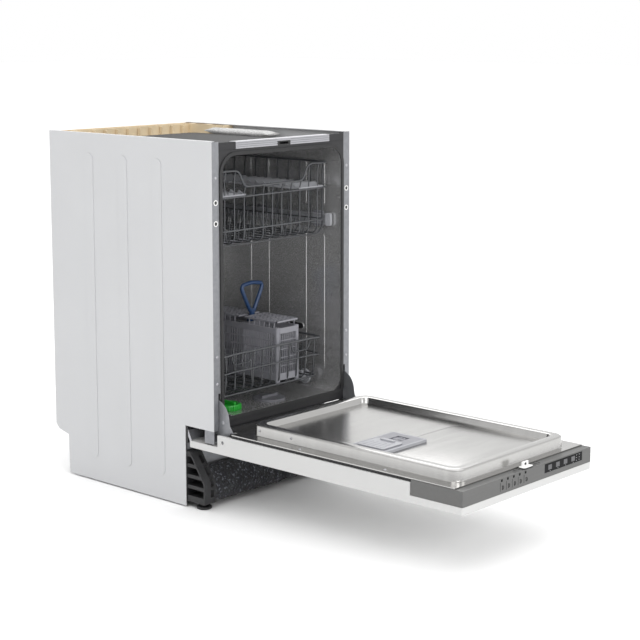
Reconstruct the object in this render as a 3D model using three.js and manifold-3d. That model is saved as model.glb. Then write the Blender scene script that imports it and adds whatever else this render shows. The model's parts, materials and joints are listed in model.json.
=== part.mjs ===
// Slimline built-in dishwasher with its door open level. Millimetres, +X right, +Y to the back, +Z up.
// The design is drawn with y = 0 on the front plane of the cabinet; the exported group is moved so that
// its origin is the bottom centre of the whole appliance.
import * as THREE from "three";
import { mergeVertices } from "three/addons/utils/BufferGeometryUtils.js";
import Module from "manifold-3d";

const wasm = await Module();
wasm.setup();

// ---- driving dimensions -------------------------------------------------------------------------
const HALF_W = 224; // half the cabinet's width
const TOP_Z = 815;
const BACK_Y = 540;
const GAP = 0.3; // air left between neighbouring pieces

const SHEET = 1.5; // side and back panel sheet
const RIB_OUT = 1.2; // how far the pressed ribs stand out
const PANEL_X = HALF_W - RIB_OUT; // outer face of a side panel between its ribs
const PANEL_BOTTOM = 3;
const SETBACK_Y = 90; // plinth recess in front of the lower cabinet
const SETBACK_Z = 186;

const POST_IN_X = 201; // inner edge of the galvanised front posts
// Opening of the tub, nearly square at the bottom.
const MOUTH = { x: 192, z0: 212, z1: 782, r: 40, foot: 4 };
const TUB = { x: 194, y0: 2, y1: 522, z0: 190, z1: 788, wall: 1.6, r: 12 };
const TRACK_Z = 212; // height the lower rack's wheels run at
const TRACK_IN_X = 160;

const HINGE = { y: -25, z: 166 };
const DOOR_END_Y = -672;
const DOOR_X = 222;
const SLAB = { z0: 139, z1: 153.7, tailY: 78 };
const LEDGE = { z0: 186, z1: 188 };
const BULGE = { x: 188, y0: -634, y1: -76, top: 212, rim: 20, floor: 198, r: 26 };
const PANEL_END_Y = -546; // inner end of the control housing
const FIN = { x0: 205, x1: 206.5, reachZ: 268 }; // guard that swings into the cabinet beside each hinge

const UPPER = { x: 182, y0: 27, y1: 495, z0: 577, z1: 745, shelfZ: 690 };
const LOWER = { x: 168, y0: 35, y1: 500, z0: 241, z1: 336 };
const WIRE = 5;
const WHEEL = { r: 18, z: TRACK_Z + 0.4 + 18, x0: 173, x1: 184, ys: [100, 205, 370, 475] };
const RAIL = { x0: 184, x1: 191, z0: 598, z1: 622, y0: 26, y1: 426 };
const BASKET = { x0: 25, x1: 100, y0: 45, y1: 280, z0: 244.5, z1: 372, wall: 2.5 };
const SPRAY_Y = 275; // both spray arms turn about this line
const SALT = { x: -62, y: 118, r: 30 };
const FILTER = { x: 75, y: 120, r: 38 };

// ---- colours and finishes -----------------------------------------------------------------------
const FINISH = {
  whiteSteel: [0xe9eaec, 0.35, 0],
  whitePlastic: [0xf0f0ee, 0.45, 0],
  galvanised: [0xaab0b4, 0.45, 0.8],
  stainless: [0xb9bcbe, 0.3, 0.9],
  silver: [0xc8cacc, 0.35, 0.8],
  blackPlastic: [0x1b1c1e, 0.5, 0],
  glassBlack: [0x0b0c0e, 0.1, 0],
  rubber: [0x222325, 0.8, 0],
  greyPlastic: [0x8d9296, 0.5, 0],
  lightPlastic: [0xb9bdc1, 0.5, 0],
  darkWire: [0x4c5054, 0.5, 0.2],
  beigePlastic: [0xcdbf9c, 0.6, 0],
  green: [0x2faa35, 0.5, 0],
  blue: [0x1f4fa8, 0.45, 0],
  felt: [0x5b5c5c, 0.95, 0],
};

// ---- solids -------------------------------------------------------------------------------------
function toSolid(geometry) {
  const bare = geometry.index ? geometry.toNonIndexed() : geometry.clone();
  bare.deleteAttribute("normal");
  bare.deleteAttribute("uv");
  const merged = mergeVertices(bare, 1e-3);
  const vertProperties = Float32Array.from(merged.attributes.position.array);
  const triVerts = Uint32Array.from(merged.index.array);
  return new wasm.Manifold(new wasm.Mesh({ numProp: 3, vertProperties, triVerts }));
}

function toGeometry(solid) {
  const mesh = solid.getMesh();
  const geometry = new THREE.BufferGeometry();
  geometry.setAttribute("position", new THREE.BufferAttribute(mesh.vertProperties, 3));
  geometry.setIndex(new THREE.BufferAttribute(mesh.triVerts, 1));
  return geometry;
}

const join = (solids) => solids.reduce((all, one) => all.add(one));
const cut = (solid, tools) => tools.reduce((left, tool) => left.subtract(tool), solid);

function box(x0, x1, y0, y1, z0, z1) {
  const geometry = new THREE.BoxGeometry(x1 - x0, y1 - y0, z1 - z0);
  return toSolid(geometry.translate((x0 + x1) / 2, (y0 + y1) / 2, (z0 + z1) / 2));
}

// The same box on both sides of the middle plane.
const bothSides = (x0, x1, ...rest) => [box(x0, x1, ...rest), box(-x1, -x0, ...rest)];

// A rectangle with corners of radius r; the two at y0 may have a radius of their own.
function roundedRect(x0, x1, y0, y1, r, low = r) {
  const shape = new THREE.Shape();
  shape.moveTo(x0 + low, y0).lineTo(x1 - low, y0).absarc(x1 - low, y0 + low, low, -Math.PI / 2, 0);
  shape.lineTo(x1, y1 - r).absarc(x1 - r, y1 - r, r, 0, Math.PI / 2);
  shape.lineTo(x0 + r, y1).absarc(x0 + r, y1 - r, r, Math.PI / 2, Math.PI);
  shape.lineTo(x0, y0 + low).absarc(x0 + low, y0 + low, low, Math.PI, 1.5 * Math.PI);
  return shape;
}

const outline = (points) => new THREE.Shape(points.map(([a, b]) => new THREE.Vector2(a, b)));

function extrude(shape, length, curveSegments = 4) {
  return new THREE.ExtrudeGeometry(shape, { depth: length, bevelEnabled: false, curveSegments });
}

// A shape drawn in (x, y), raised from z0 to z1.
const plate = (shape, z0, z1, segments) => toSolid(extrude(shape, z1 - z0, segments).translate(0, 0, z0));

// A shape drawn in (x, z), running from y0 back to y1.
function frontPlate(shape, y0, y1, segments) {
  return toSolid(extrude(shape, y1 - y0, segments).rotateX(Math.PI / 2).translate(0, y1, 0));
}

// A shape drawn in (y, z), running from x0 to x1.
function sidePlate(shape, x0, x1, segments) {
  const turned = extrude(shape, x1 - x0, segments).rotateY(Math.PI / 2).rotateX(Math.PI / 2);
  return toSolid(turned.translate(x0, 0, 0));
}

function cylinder(axis, r, length, x, y, z, sides = 20) {
  const geometry = new THREE.CylinderGeometry(r, r, length, sides);
  if (axis === "x") geometry.rotateZ(Math.PI / 2);
  if (axis === "z") geometry.rotateX(Math.PI / 2);
  return toSolid(geometry.translate(x, y, z));
}

// A ring-shaped or solid turned piece: profile points are (radius, height), its axis is local Z.
function turned(profile, sides = 16) {
  const points = profile.map(([r, h]) => new THREE.Vector2(r, h));
  return new THREE.LatheGeometry(points, sides).rotateX(Math.PI / 2);
}

// ---- the assembly -------------------------------------------------------------------------------
const dishwasher = new THREE.Group();
const cabinet = new THREE.Group();
const door = new THREE.Group();
const upperRack = new THREE.Group();
const lowerRack = new THREE.Group();
dishwasher.add(cabinet, door, upperRack, lowerRack);

function place(group, name, finish, solid, position = [0, 0, 0]) {
  const [color, roughness, metalness] = FINISH[finish];
  const material = new THREE.MeshStandardMaterial({ color, roughness, metalness });
  const geometry = solid.isBufferGeometry ? solid : toGeometry(solid);
  const mesh = new THREE.Mesh(geometry, material);
  mesh.name = name;
  mesh.position.set(...position);
  group.add(mesh);
  return mesh;
}

const SIDES = [
  ["left", -1],
  ["right", 1],
];
const mirrorX = (solid) => solid.mirror([1, 0, 0]);

// ---- cabinet shell ------------------------------------------------------------------------------
// A side panel: sheet with a stepped outline, a top fold and three tall pressed ribs.
function sidePanel(sign) {
  const inner = PANEL_X - SHEET;
  const edge = outline([
    [0, SETBACK_Z], [0, TOP_Z], [BACK_Y, TOP_Z], [BACK_Y, 116], [528, 104],
    [494, 96], [492, PANEL_BOTTOM], [SETBACK_Y, PANEL_BOTTOM], [SETBACK_Y, SETBACK_Z],
  ]);
  const ribs = [172, 285, 401].map((y) => {
    const rib = roundedRect(y - 15, y + 15, 57, 770, 14.9);
    return sign > 0 ? sidePlate(rib, PANEL_X - 0.5, HALF_W) : sidePlate(rib, -HALF_W, -PANEL_X + 0.5);
  });
  const x0 = sign > 0 ? inner : -PANEL_X;
  const fold = sign > 0 ? [inner - 12, inner + 0.5] : [-inner - 0.5, -inner + 12];
  return join([
    sidePlate(edge, x0, x0 + SHEET),
    box(fold[0], fold[1], 4, BACK_Y - 2, TOP_Z - SHEET, TOP_Z),
    ...ribs,
  ]);
}

// A galvanised angle up the right front edge, whose face takes the furniture screws. At its foot it
// carries the bracket and the pin that the door turns on. The left post is its mirror image.
const PIN_R = 4;
function frontPost() {
  const outer = PANEL_X - SHEET - GAP;
  const top = TOP_Z - SHEET - GAP;
  const z0 = HINGE.z - 9;
  const z1 = HINGE.z + 9;
  const notch = box(POST_IN_X - 1, FIN.x1 + 1.5, -1, SHEET + 1, SETBACK_Z - 1, FIN.reachZ);
  return join([
    cut(box(POST_IN_X, outer, 0, SHEET, SETBACK_Z, top), [notch]),
    box(outer - SHEET, outer, SHEET - 0.5, 30, z0, top),
    box(207, 210, HINGE.y - 8, 30, z0, z1),
    box(209, outer, 15, 30, z0, z1),
    cylinder("x", PIN_R, 10.5, 213.75, HINGE.y, HINGE.z, 12),
  ]);
}

for (const [side, sign] of SIDES) {
  place(cabinet, `side_panel_${side}`, "whiteSteel", sidePanel(sign));
  place(cabinet, `front_post_${side}`, "galvanised", sign > 0 ? frontPost() : mirrorX(frontPost()));
}

const insideX = PANEL_X - SHEET - GAP;
place(cabinet, "back_panel", "galvanised", box(-insideX, insideX, BACK_Y - SHEET, BACK_Y, 118, 788));

// The moulded frame across the top rear: a back bar, two arms and cross ribs.
{
  const z0 = TUB.z1 + TUB.wall + GAP;
  const z1 = TOP_Z - SHEET - GAP;
  const x = insideX;
  const bars = [
    box(-x, x, 502, 537, z0, z1),
    ...bothSides(x - 34, x, 380, 503, z0, z1),
  ];
  const pocket = (x0, x1, y0, y1) => box(x0, x1, y0, y1, z0 + 4, z1 + 1);
  const pockets = [];
  const cells = 8;
  const pitch = (2 * x) / cells;
  for (let i = 0; i < cells; i += 1) {
    pockets.push(pocket(-x + i * pitch + 3, -x + (i + 1) * pitch - 3, 506, 533));
  }
  for (const y of [386, 446]) {
    pockets.push(pocket(x - 30, x - 4, y, y + 52), pocket(-x + 4, -x + 30, y, y + 52));
  }
  place(cabinet, "rear_brace", "beigePlastic", cut(join(bars), pockets));
}

// ---- tub ----------------------------------------------------------------------------------------
{
  const { x, y0, y1, z0, z1, wall, r } = TUB;
  const shell = frontPlate(roundedRect(-x - wall, x + wall, z0 - wall, z1 + wall, r + wall), 0, y1 + wall);
  const hollow = frontPlate(roundedRect(-x, x, z0, z1, r), y0, y1);
  const flange = box(-POST_IN_X + GAP, POST_IN_X - GAP, 0, y0, SETBACK_Z + 1, 795.5);
  const opening = roundedRect(-MOUTH.x, MOUTH.x, MOUTH.z0, MOUTH.z1, MOUTH.r, MOUTH.foot);
  const mouth = frontPlate(opening, -1, y0 + 1);
  const tracks = bothSides(TRACK_IN_X, x + 1, y0 - 0.5, y1 + 1, z0 - 1, TRACK_Z);
  const tub = cut(join([cut(join([shell, flange]), [hollow]), ...tracks]), [
    mouth,
    cylinder("z", SALT.r + 2, 20, SALT.x, SALT.y, z0, 20),
    cylinder("z", FILTER.r + 1, 20, FILTER.x, FILTER.y, z0, 20),
    cylinder("z", 14, 20, 0, SPRAY_Y, z0, 12),
    cylinder("z", 9, 20, 0, 510, z0, 10),
  ]);
  place(cabinet, "tub", "stainless", tub);
}

{
  const { x, z0, z1, r, foot } = MOUTH;
  const ring = frontPlate(roundedRect(-x - 8, x + 8, z0 - 8, z1 + 8, r + 8, foot + 8), -2.6, -GAP);
  const hole = frontPlate(roundedRect(-x, x, z0, z1, r, foot), -4, 1);
  place(cabinet, "tub_gasket", "rubber", cut(ring, [hole]));
}

// ---- front cross bar and door lock --------------------------------------------------------------
{
  const z0 = 796.2;
  const z1 = 811.5;
  const bar = box(-150, 150, -2, 18, z0, z1);
  const grooves = [800, 804, 808].map((z) => box(-151, 151, -3, -0.8, z, z + 1.6));
  const seat = box(-21, 21, -3, 19, z0 - 1, 806);
  place(cabinet, "front_crossbar", "silver", cut(bar, [seat, ...grooves]));
  const lock = box(-20.5, 20.5, -1.8, 17, z0, 805.7);
  place(cabinet, "door_lock", "blackPlastic", cut(lock, [box(-14, 14, -3, 12, 798.3, 803.2)]));
}

// ---- base ---------------------------------------------------------------------------------------
const LEG_X = [185, 220];
{
  const leg = outline([[34, 14], [34, 60], [80, 127], [96, 127], [96, 14]]);
  const legs = [sidePlate(leg, LEG_X[0], LEG_X[1]), sidePlate(leg, -LEG_X[1], -LEG_X[0])];
  const legRibs = [];
  for (let i = 0; i < 4; i += 1) {
    const z = 28 + i * 24;
    legRibs.push(...bothSides(LEG_X[0] + 6, LEG_X[1] + 1, 30, 88, z, z + 16));
  }
  const slab = box(-218, 218, 94, 488, 14, 30);
  const walls = [
    ...bothSides(212, 218, 94, 488, 29, 110),
    box(-218, 218, 482, 488, 29, 110),
  ];
  const tray = join([cut(join(legs), legRibs), slab, ...walls]);
  place(cabinet, "base_tray", "blackPlastic", tray);
}

const FEET = [["foot_front_left", -202, 54], ["foot_front_right", 202, 54], ["foot_rear", 0, 462]];
for (const [name, x, y] of FEET) {
  const foot = turned([[0, 0], [17, 0], [17, 6], [6, 8], [6, 13.7], [0, 13.7]]);
  place(cabinet, name, "blackPlastic", foot, [x, y, 0]);
}

place(cabinet, "base_front_sheet", "galvanised", join([
  box(-184, 184, 83.5, 85, 34, 178),
  box(-184, 184, 84.5, 87.5, 176.5, 178),
]));

// The felt apron that hangs in front of the base.
{
  const apron = outline([[82.5, 92], [82.5, 80], [54, 68], [51, 7], [38, 7], [41, 75]]);
  place(cabinet, "insulation_pad", "felt", sidePlate(apron, -180, 180));
}

// ---- water works --------------------------------------------------------------------------------
{
  const tank = box(-208, -30, 100, 330, 36, 170);
  const neck = cylinder("z", SALT.r, 32, SALT.x, SALT.y, 172, 20);
  const bore = cylinder("z", SALT.r - 6, 60, SALT.x, SALT.y, 180, 16);
  place(cabinet, "water_softener", "lightPlastic", cut(join([tank, neck]), [bore]));
}

// The ribbed salt cap, turned by its wing.
{
  const profile = [[0, 0], [SALT.r - 1, 0], [SALT.r, 3], [SALT.r, 12], [SALT.r - 4, 15], [0, 15]];
  const cap = toSolid(turned(profile, 20));
  const wing = box(-4, 4, -22, 22, 14, 20);
  place(cabinet, "salt_cap", "green", join([cap, wing]), [SALT.x, SALT.y, TUB.z0 - 1.5]);
}

{
  const bowl = cylinder("z", 62, 62, FILTER.x - 10, FILTER.y + 40, 149, 20);
  const duct = box(-16, 60, SPRAY_Y - 60, SPRAY_Y + 20, 140, 176);
  const well = cylinder("z", FILTER.r + 2, 50, FILTER.x, FILTER.y + 6, 175, 20);
  const riser = cylinder("z", 12, 42, 0, SPRAY_Y, 179.5, 12);
  place(cabinet, "sump", "greyPlastic", join([cut(join([bowl, duct]), [well]), riser]));
}

{
  const rim = [[0, 0], [FILTER.r - 8, 0], [FILTER.r - 8, 10], [FILTER.r, 12], [FILTER.r, 16], [0, 16]];
  const cup = toSolid(turned(rim, 20));
  const grip = box(-26, 26, -3, 3, 15, 22);
  place(cabinet, "filter_cup", "greyPlastic", join([cup, grip]), [FILTER.x, FILTER.y, TUB.z0 - 12]);
}

place(cabinet, "circulation_pump", "blackPlastic", join([
  cylinder("x", 38, 90, 60, 400, 84, 20),
  cylinder("x", 26, 30, 118, 400, 84, 16),
]));
place(cabinet, "drain_pump", "blackPlastic", join([
  cylinder("y", 24, 60, 170, 260, 84, 16),
  cylinder("y", 32, 24, 170, 222, 84, 16),
]));

{
  const riser = box(-11, 11, 504, 519, TUB.z0 + 4, 552);
  const outlet = cylinder("y", 14, 10, 0, 501, 540, 12);
  place(cabinet, "spray_feed_pipe", "lightPlastic", join([riser, outlet]));
}

// A flat pointed two-bladed arm about a hub, drawn about its own axis.
function sprayArm(reach, hubLow, hubHigh) {
  const blade = outline([
    [reach, 0], [reach - 18, 13], [40, 22], [0, 30], [-40, 22], [18 - reach, 13],
    [-reach, 0], [18 - reach, -13], [-40, -22], [0, -30], [40, -22], [reach - 18, -13],
  ]);
  return join([plate(blade, 0, 9), cylinder("z", 20, hubHigh - hubLow, 0, 0, (hubHigh + hubLow) / 2, 16)]);
}

place(cabinet, "lower_spray_arm", "greyPlastic", sprayArm(146, -14, 12), [0, SPRAY_Y, 215]);
place(upperRack, "upper_spray_arm", "greyPlastic", sprayArm(160, -4, 28), [0, SPRAY_Y - 20, 546]);

// ---- door ---------------------------------------------------------------------------------------
// A quarter-round guard plate standing on the pan's edge beside each hinge.
const finOutline = outline([
  [-56, 186.2], [-56, 187.9], [-42, 187.9], [-33, 200], [-30, 218], [-24, 234], [-13, 246], [0, 253],
  [16, 257], [16, 176], [-28, 176], [-36, 186.2],
]);

{
  const face = plate(roundedRect(-DOOR_X, DOOR_X, DOOR_END_Y, SLAB.tailY, 3), SLAB.z0, SLAB.z1, 2);
  const folds = bothSides(216, DOOR_X, PANEL_END_Y + 2, -10, SLAB.z1 - 1, 180);
  const pinHole = cylinder("x", PIN_R + GAP, 2 * DOOR_X + 10, 0, HINGE.y, HINGE.z, 12);
  place(door, "door_outer_panel", "whiteSteel", cut(join([face, ...folds]), [pinHole]));
}

{
  const { x, y0, y1, top, rim, floor, r } = BULGE;
  const skin = 2;
  const ledge = box(-219, 219, -652, -6, LEDGE.z0, LEDGE.z1);
  const notches = bothSides(200, 222, -50, 0, LEDGE.z0 - 1, LEDGE.z1 + 1);
  const block = plate(roundedRect(-x, x, y0, y1, r), LEDGE.z0, top);
  const dish = plate(roundedRect(-x + rim, x - rim, y0 + rim, y1 - rim, r - 8), floor, top + 1);
  const inside = roundedRect(-x + skin, x - skin, y0 + skin, y1 - skin, r - skin);
  const under = plate(inside, LEDGE.z0 - 1, floor - skin);
  const rimHollow = cut(
    plate(roundedRect(-x + skin, x - skin, y0 + skin, y1 - skin, r - skin), floor - skin - 0.5, top - skin),
    [plate(roundedRect(-x + rim - skin, x - rim + skin, y0 + rim - skin, y1 - rim + skin, r - 6), 0, top)],
  );
  const fins = [sidePlate(finOutline, FIN.x0, FIN.x1), sidePlate(finOutline, -FIN.x1, -FIN.x0)];
  const pan = cut(join([cut(ledge, notches), block, ...fins]), [dish, under, rimHollow]);
  place(door, "door_inner_pan", "stainless", pan);
}

const DISPLAY = { x0: 52, x1: 189, z0: 164, z1: 183 };
const BUTTON = { w: 13, h: 10, z: 173.5, xs: [72, 100, 128, 156] };
{
  const housing = box(-221, 221, DOOR_END_Y, PANEL_END_Y, SLAB.z1 + GAP, LEDGE.z0 - GAP);
  const recess = box(DISPLAY.x0, DISPLAY.x1, DOOR_END_Y - 1, DOOR_END_Y + 7, DISPLAY.z0, DISPLAY.z1);
  const back = box(-214, 214, DOOR_END_Y + 12, PANEL_END_Y + 1, SLAB.z1 + 3, LEDGE.z0 - 3);
  // the striker tongue that the lock in the cross bar takes hold of
  const striker = cut(box(-10, 10, -661, -658, 188, 198), [box(-4, 4, -662, -657, 192, 195)]);
  const base = box(-15, 15, -669, -654.5, LEDGE.z0 - 0.5, 188.2);
  place(door, "control_panel", "stainless", join([cut(housing, [recess, back]), base, striker]));
}

{
  const { x0, x1, z0, z1 } = DISPLAY;
  const lens = box(x0 + GAP, x1 - GAP, DOOR_END_Y, DOOR_END_Y + 2, z0 + GAP, z1 - GAP);
  const windows = BUTTON.xs.map((x) => {
    const w = BUTTON.w / 2 + 0.4;
    const h = BUTTON.h / 2 + 0.4;
    return box(x - w, x + w, DOOR_END_Y - 1, DOOR_END_Y + 3, BUTTON.z - h, BUTTON.z + h);
  });
  place(door, "display_window", "glassBlack", cut(lens, windows));
}

BUTTON.xs.forEach((x, i) => {
  const button = box(-BUTTON.w / 2, BUTTON.w / 2, 0, 4.4, -BUTTON.h / 2, BUTTON.h / 2);
  place(door, `button_${i + 1}`, "lightPlastic", button, [x, DOOR_END_Y + 0.2, BUTTON.z]);
});

{
  const body = plate(roundedRect(-160, -20, -425, -335, 8), BULGE.floor + GAP, 206);
  const wells = [box(-146, -88, -412, -350, 203, 207), box(-70, -38, -396, -364, 203, 207)];
  place(door, "dispenser_body", "greyPlastic", cut(body, wells));
  const lid = box(-150, -84, -416, -346, 206.3, 209);
  place(door, "dispenser_lid", "lightPlastic", join([lid, box(-94, -88, -396, -366, 208.5, 212)]));
}

// ---- wire racks ---------------------------------------------------------------------------------
const spaced = (from, to, count) => {
  return Array.from({ length: count }, (_, i) => from + ((to - from) * i) / (count - 1));
};
const half = WIRE / 2;
const alongX = (x0, x1, y, z) => box(x0, x1, y - half, y + half, z - half, z + half);
const alongY = (x, y0, y1, z) => box(x - half, x + half, y0, y1, z - half, z + half);
const alongZ = (x, y, z0, z1) => box(x - half, x + half, y - half, y + half, z0, z1);

// Upright hairpins bent from the floor wires, across and along.
function basketWires(x, y0, y1, z0, z1, ys, xs) {
  const wires = [];
  for (const y of ys) {
    wires.push(alongX(-x, x, y, z0), alongZ(-x, y, z0 - half, z1), alongZ(x, y, z0 - half, z1));
  }
  for (const along of xs) {
    wires.push(alongY(along, y0, y1, z0 + 1.5), alongZ(along, y0, z0, z1), alongZ(along, y1, z0, z1));
  }
  return wires;
}

{
  const x = UPPER.x - half;
  const y0 = UPPER.y0 + half;
  const y1 = UPPER.y1 - half;
  const { z0, z1 } = UPPER;
  const dip = { x: 95, z: z1 - 37 };
  const frontRim = [
    alongX(-x - half, -dip.x, y0, z1),
    alongX(dip.x, x + half, y0, z1),
    alongX(-dip.x - half, dip.x + half, y0, dip.z),
    alongZ(-dip.x, y0, dip.z, z1 + half),
    alongZ(dip.x, y0, dip.z, z1 + half),
  ];
  const rim = [alongX(-x - half, x + half, y1, z1), alongY(x, y0, y1, z1), alongY(-x, y0, y1, z1)];
  const wires = basketWires(x, y0, y1, z0, z1, spaced(y0, y1, 11), []);
  const front = [-90, 0, 90].map((at) => alongZ(at, y0, z0, dip.z));
  const back = [-90, 0, 90].map((at) => alongZ(at, y1, z0, z1));
  const floor = [-120, -x, x, 120].map((at) => alongY(at, y0, y1, z0 + 1.5));
  const hanger = box(-26, 26, SPRAY_Y - 46, SPRAY_Y + 6, z0 - 1, z0 + 5);
  const basket = join([...frontRim, ...rim, ...wires, ...front, ...back, ...floor, hanger]);
  place(upperRack, "upper_rack_basket", "darkWire", basket);
}

// Folding cup shelves: a slotted plate with a knuckle along its outer edge, drawn at its hinge line.
const SHELF = { width: 88, length: 214, thick: 6, hingeX: 171 };
function cupShelf(sign) {
  const { width, length, thick } = SHELF;
  const deck = box(0, width, -length / 2, length / 2, -thick / 2, thick / 2);
  const slots = spaced(-length / 2 + 22, length / 2 - 22, 6).map((y) => {
    return box(14, width - 10, y - 9, y + 9, -thick, thick);
  });
  const shelf = cut(deck, slots);
  return sign < 0 ? shelf : mirrorX(shelf);
}
for (const [side, sign] of SIDES) {
  [["front", 140], ["rear", 366]].forEach(([end, y]) => {
    const at = [sign * SHELF.hingeX, y, UPPER.shelfZ];
    place(upperRack, `cup_shelf_${side}_${end}`, "greyPlastic", cupShelf(sign), at);
  });
}

// Telescopic rails: channels open to the rack, with a cap at the front end.
for (const [side, sign] of SIDES) {
  const { x0, x1, y0, y1, z0, z1 } = RAIL;
  const bar = box(x0, x1, y0, y1, z0, z1);
  const channel = box(x0 - 1, x1 - 1.6, y0 + 14, y1 - 8, z0 + 2, z1 - 2);
  const rail = cut(bar, [channel]);
  place(cabinet, `upper_rail_${side}`, "lightPlastic", sign > 0 ? rail : mirrorX(rail));
}

// The lower rack: a floor and four walls of welded wire, one flat grille each.
{
  const x = LOWER.x - half;
  const y0 = LOWER.y0 + half;
  const y1 = LOWER.y1 - half;
  const { z0, z1 } = LOWER;
  const inX = LOWER.x - WIRE - GAP;
  const inY = [LOWER.y0 + WIRE + GAP, LOWER.y1 - WIRE - GAP];
  const across = spaced(y0 + 40, y1 - 40, 9);
  const rows = [z0, z0 + 43, z1];
  const floor = [
    ...[inY[0] + half, ...across, inY[1] - half].map((y) => alongX(-inX, inX, y, z0)),
    ...[half - inX, -110, 0, 110, inX - half].map((at) => alongY(at, inY[0], inY[1], z0 + 1.5)),
  ];
  place(lowerRack, "lower_rack_floor", "darkWire", join(floor));

  for (const [end, y] of [["front", y0], ["back", y1]]) {
    const spots = [half - inX, -110, -55, 0, 55, 110, inX - half];
    const uprights = spots.map((at) => alongZ(at, y, z0 - half, z1 + half));
    const bars = rows.map((z) => alongX(-inX, inX, y, z));
    place(lowerRack, `lower_rack_${end}`, "darkWire", join([...bars, ...uprights]));
  }

  const bars = rows.map((z) => alongY(x, LOWER.y0, LOWER.y1, z));
  const uprights = [y0, ...across, y1].map((y) => alongZ(x, y, z0 - half, z1 + half));
  const axles = WHEEL.ys.flatMap((y) => [
    box(x - half, x + half, y - 7, y + 7, WHEEL.z - 8, z0),
    cylinder("x", 3.5, WHEEL.x1 + 2 - x, (x + WHEEL.x1 + 2) / 2, y, WHEEL.z, 8),
  ]);
  const side = join([...bars, ...uprights, ...axles]);
  place(lowerRack, "lower_rack_side_right", "darkWire", side);
  place(lowerRack, "lower_rack_side_left", "darkWire", mirrorX(side));

  // the row of tines that plates stand between
  const rail = z0 + 7;
  const tines = across.map((y) => alongZ(-110, y, rail, z0 + 62));
  place(lowerRack, "plate_tines", "darkWire", join([alongY(-110, y0 + 35, y1 - 35, rail), ...tines]));
}

// Wheels: a stepped rim on a hub with a bore, drawn about local Z and laid on their sides.
const wheelProfile = [[4, 0], [WHEEL.r, 0], [WHEEL.r, 7], [11, 9], [8, 11], [4, 11], [4, 0]];
for (const [side, sign] of SIDES) {
  WHEEL.ys.forEach((y, i) => {
    const wheel = place(lowerRack, `wheel_${side}_${i + 1}`, "lightPlastic", turned(wheelProfile, 14));
    wheel.position.set(sign * WHEEL.x0, y, WHEEL.z);
    wheel.rotation.y = (sign * Math.PI) / 2;
  });
}

// ---- cutlery basket -----------------------------------------------------------------------------
const BASKET_MID = (BASKET.y0 + BASKET.y1) / 2;
{
  const { x0, x1, y0, y1, z0, z1, wall } = BASKET;
  const outer = plate(roundedRect(x0, x1, y0, y1, 10), z0, z1, 3);
  const halves = [[y0 + wall, BASKET_MID - 6], [BASKET_MID + 6, y1 - wall]].map(([a, b]) => {
    return plate(roundedRect(x0 + wall, x1 - wall, a, b, 8), z0 + 4, z1 + 1, 3);
  });
  const posts = [y0 + 5, BASKET_MID, y1 - 5].flatMap((y) => {
    return [x0 + 8, x1 - 8].map((x) => box(x - 3, x + 3, y - 3, y + 3, z1 - 2, z1 + 12));
  });
  place(lowerRack, "cutlery_basket", "greyPlastic", join([cut(outer, halves), ...posts]));
}

// The two grille lids stand on the basket's posts and swing up about its left edge.
[["front", BASKET.y0 + 3, BASKET_MID - 9], ["rear", BASKET_MID + 9, BASKET.y1 - 3]].forEach(([end, y0, y1]) => {
  const z = BASKET.z1 + 12 + GAP;
  const deck = box(BASKET.x0 + 1, BASKET.x1 - 1, y0, y1, z, z + 4);
  const slots = spaced(y0 + 14, y1 - 14, 5).map((y) => box(BASKET.x0 + 9, BASKET.x1 - 9, y - 5, y + 5, z - 1, z + 5));
  place(lowerRack, `basket_lid_${end}`, "greyPlastic", cut(deck, slots));
});

{
  const x = (BASKET.x0 + BASKET.x1) / 2;
  const z = BASKET.z1 + 18;
  const stem = box(x - 6, x + 6, BASKET_MID - 5, BASKET_MID + 5, BASKET.z1 + GAP, z + 8);
  const loop = (points) => outline(points.map(([dx, dz]) => [x + dx, z + dz]));
  const grip = loop([[-8, 0], [8, 0], [38, 60], [34, 72], [0, 78], [-34, 72], [-38, 60]]);
  const hand = loop([[0, 14], [27, 58], [24, 65], [0, 70], [-24, 65], [-27, 58]]);
  const ring = cut(
    frontPlate(grip, BASKET_MID - 5, BASKET_MID + 5),
    [frontPlate(hand, BASKET_MID - 6, BASKET_MID + 6)],
  );
  place(lowerRack, "basket_handle", "blue", join([stem, ring]));
}

dishwasher.position.set(0, -(BACK_Y + DOOR_END_Y) / 2, 0);

export default dishwasher;
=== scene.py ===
import json
import math
import bpy
import bmesh
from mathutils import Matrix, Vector, noise


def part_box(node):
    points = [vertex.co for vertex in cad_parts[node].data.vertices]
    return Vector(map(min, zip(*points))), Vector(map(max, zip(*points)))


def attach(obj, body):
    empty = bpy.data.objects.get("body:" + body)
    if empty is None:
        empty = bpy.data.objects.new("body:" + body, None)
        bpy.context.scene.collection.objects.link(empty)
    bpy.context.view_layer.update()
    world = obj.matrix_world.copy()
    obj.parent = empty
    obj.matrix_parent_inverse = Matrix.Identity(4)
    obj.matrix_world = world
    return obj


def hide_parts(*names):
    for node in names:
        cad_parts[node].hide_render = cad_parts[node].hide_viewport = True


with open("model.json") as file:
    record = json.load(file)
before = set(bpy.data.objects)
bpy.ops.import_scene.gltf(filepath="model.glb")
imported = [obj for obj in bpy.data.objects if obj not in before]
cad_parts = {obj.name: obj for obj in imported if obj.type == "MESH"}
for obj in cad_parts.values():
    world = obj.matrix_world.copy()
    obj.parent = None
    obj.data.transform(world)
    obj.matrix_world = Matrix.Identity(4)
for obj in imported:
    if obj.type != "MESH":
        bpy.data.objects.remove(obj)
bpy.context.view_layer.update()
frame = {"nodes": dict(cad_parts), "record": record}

NODES = frame["nodes"]

# ---- places ---------------------------------------------------------------------------------------
# Sizes below are in millimetres from the cabinet's front plane (y = 0), the middle (x = 0) and the floor.
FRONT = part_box("tub")[0][1]


def place(x, y, z):
    return Vector((x / 1000, y / 1000 + FRONT, z / 1000))


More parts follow.
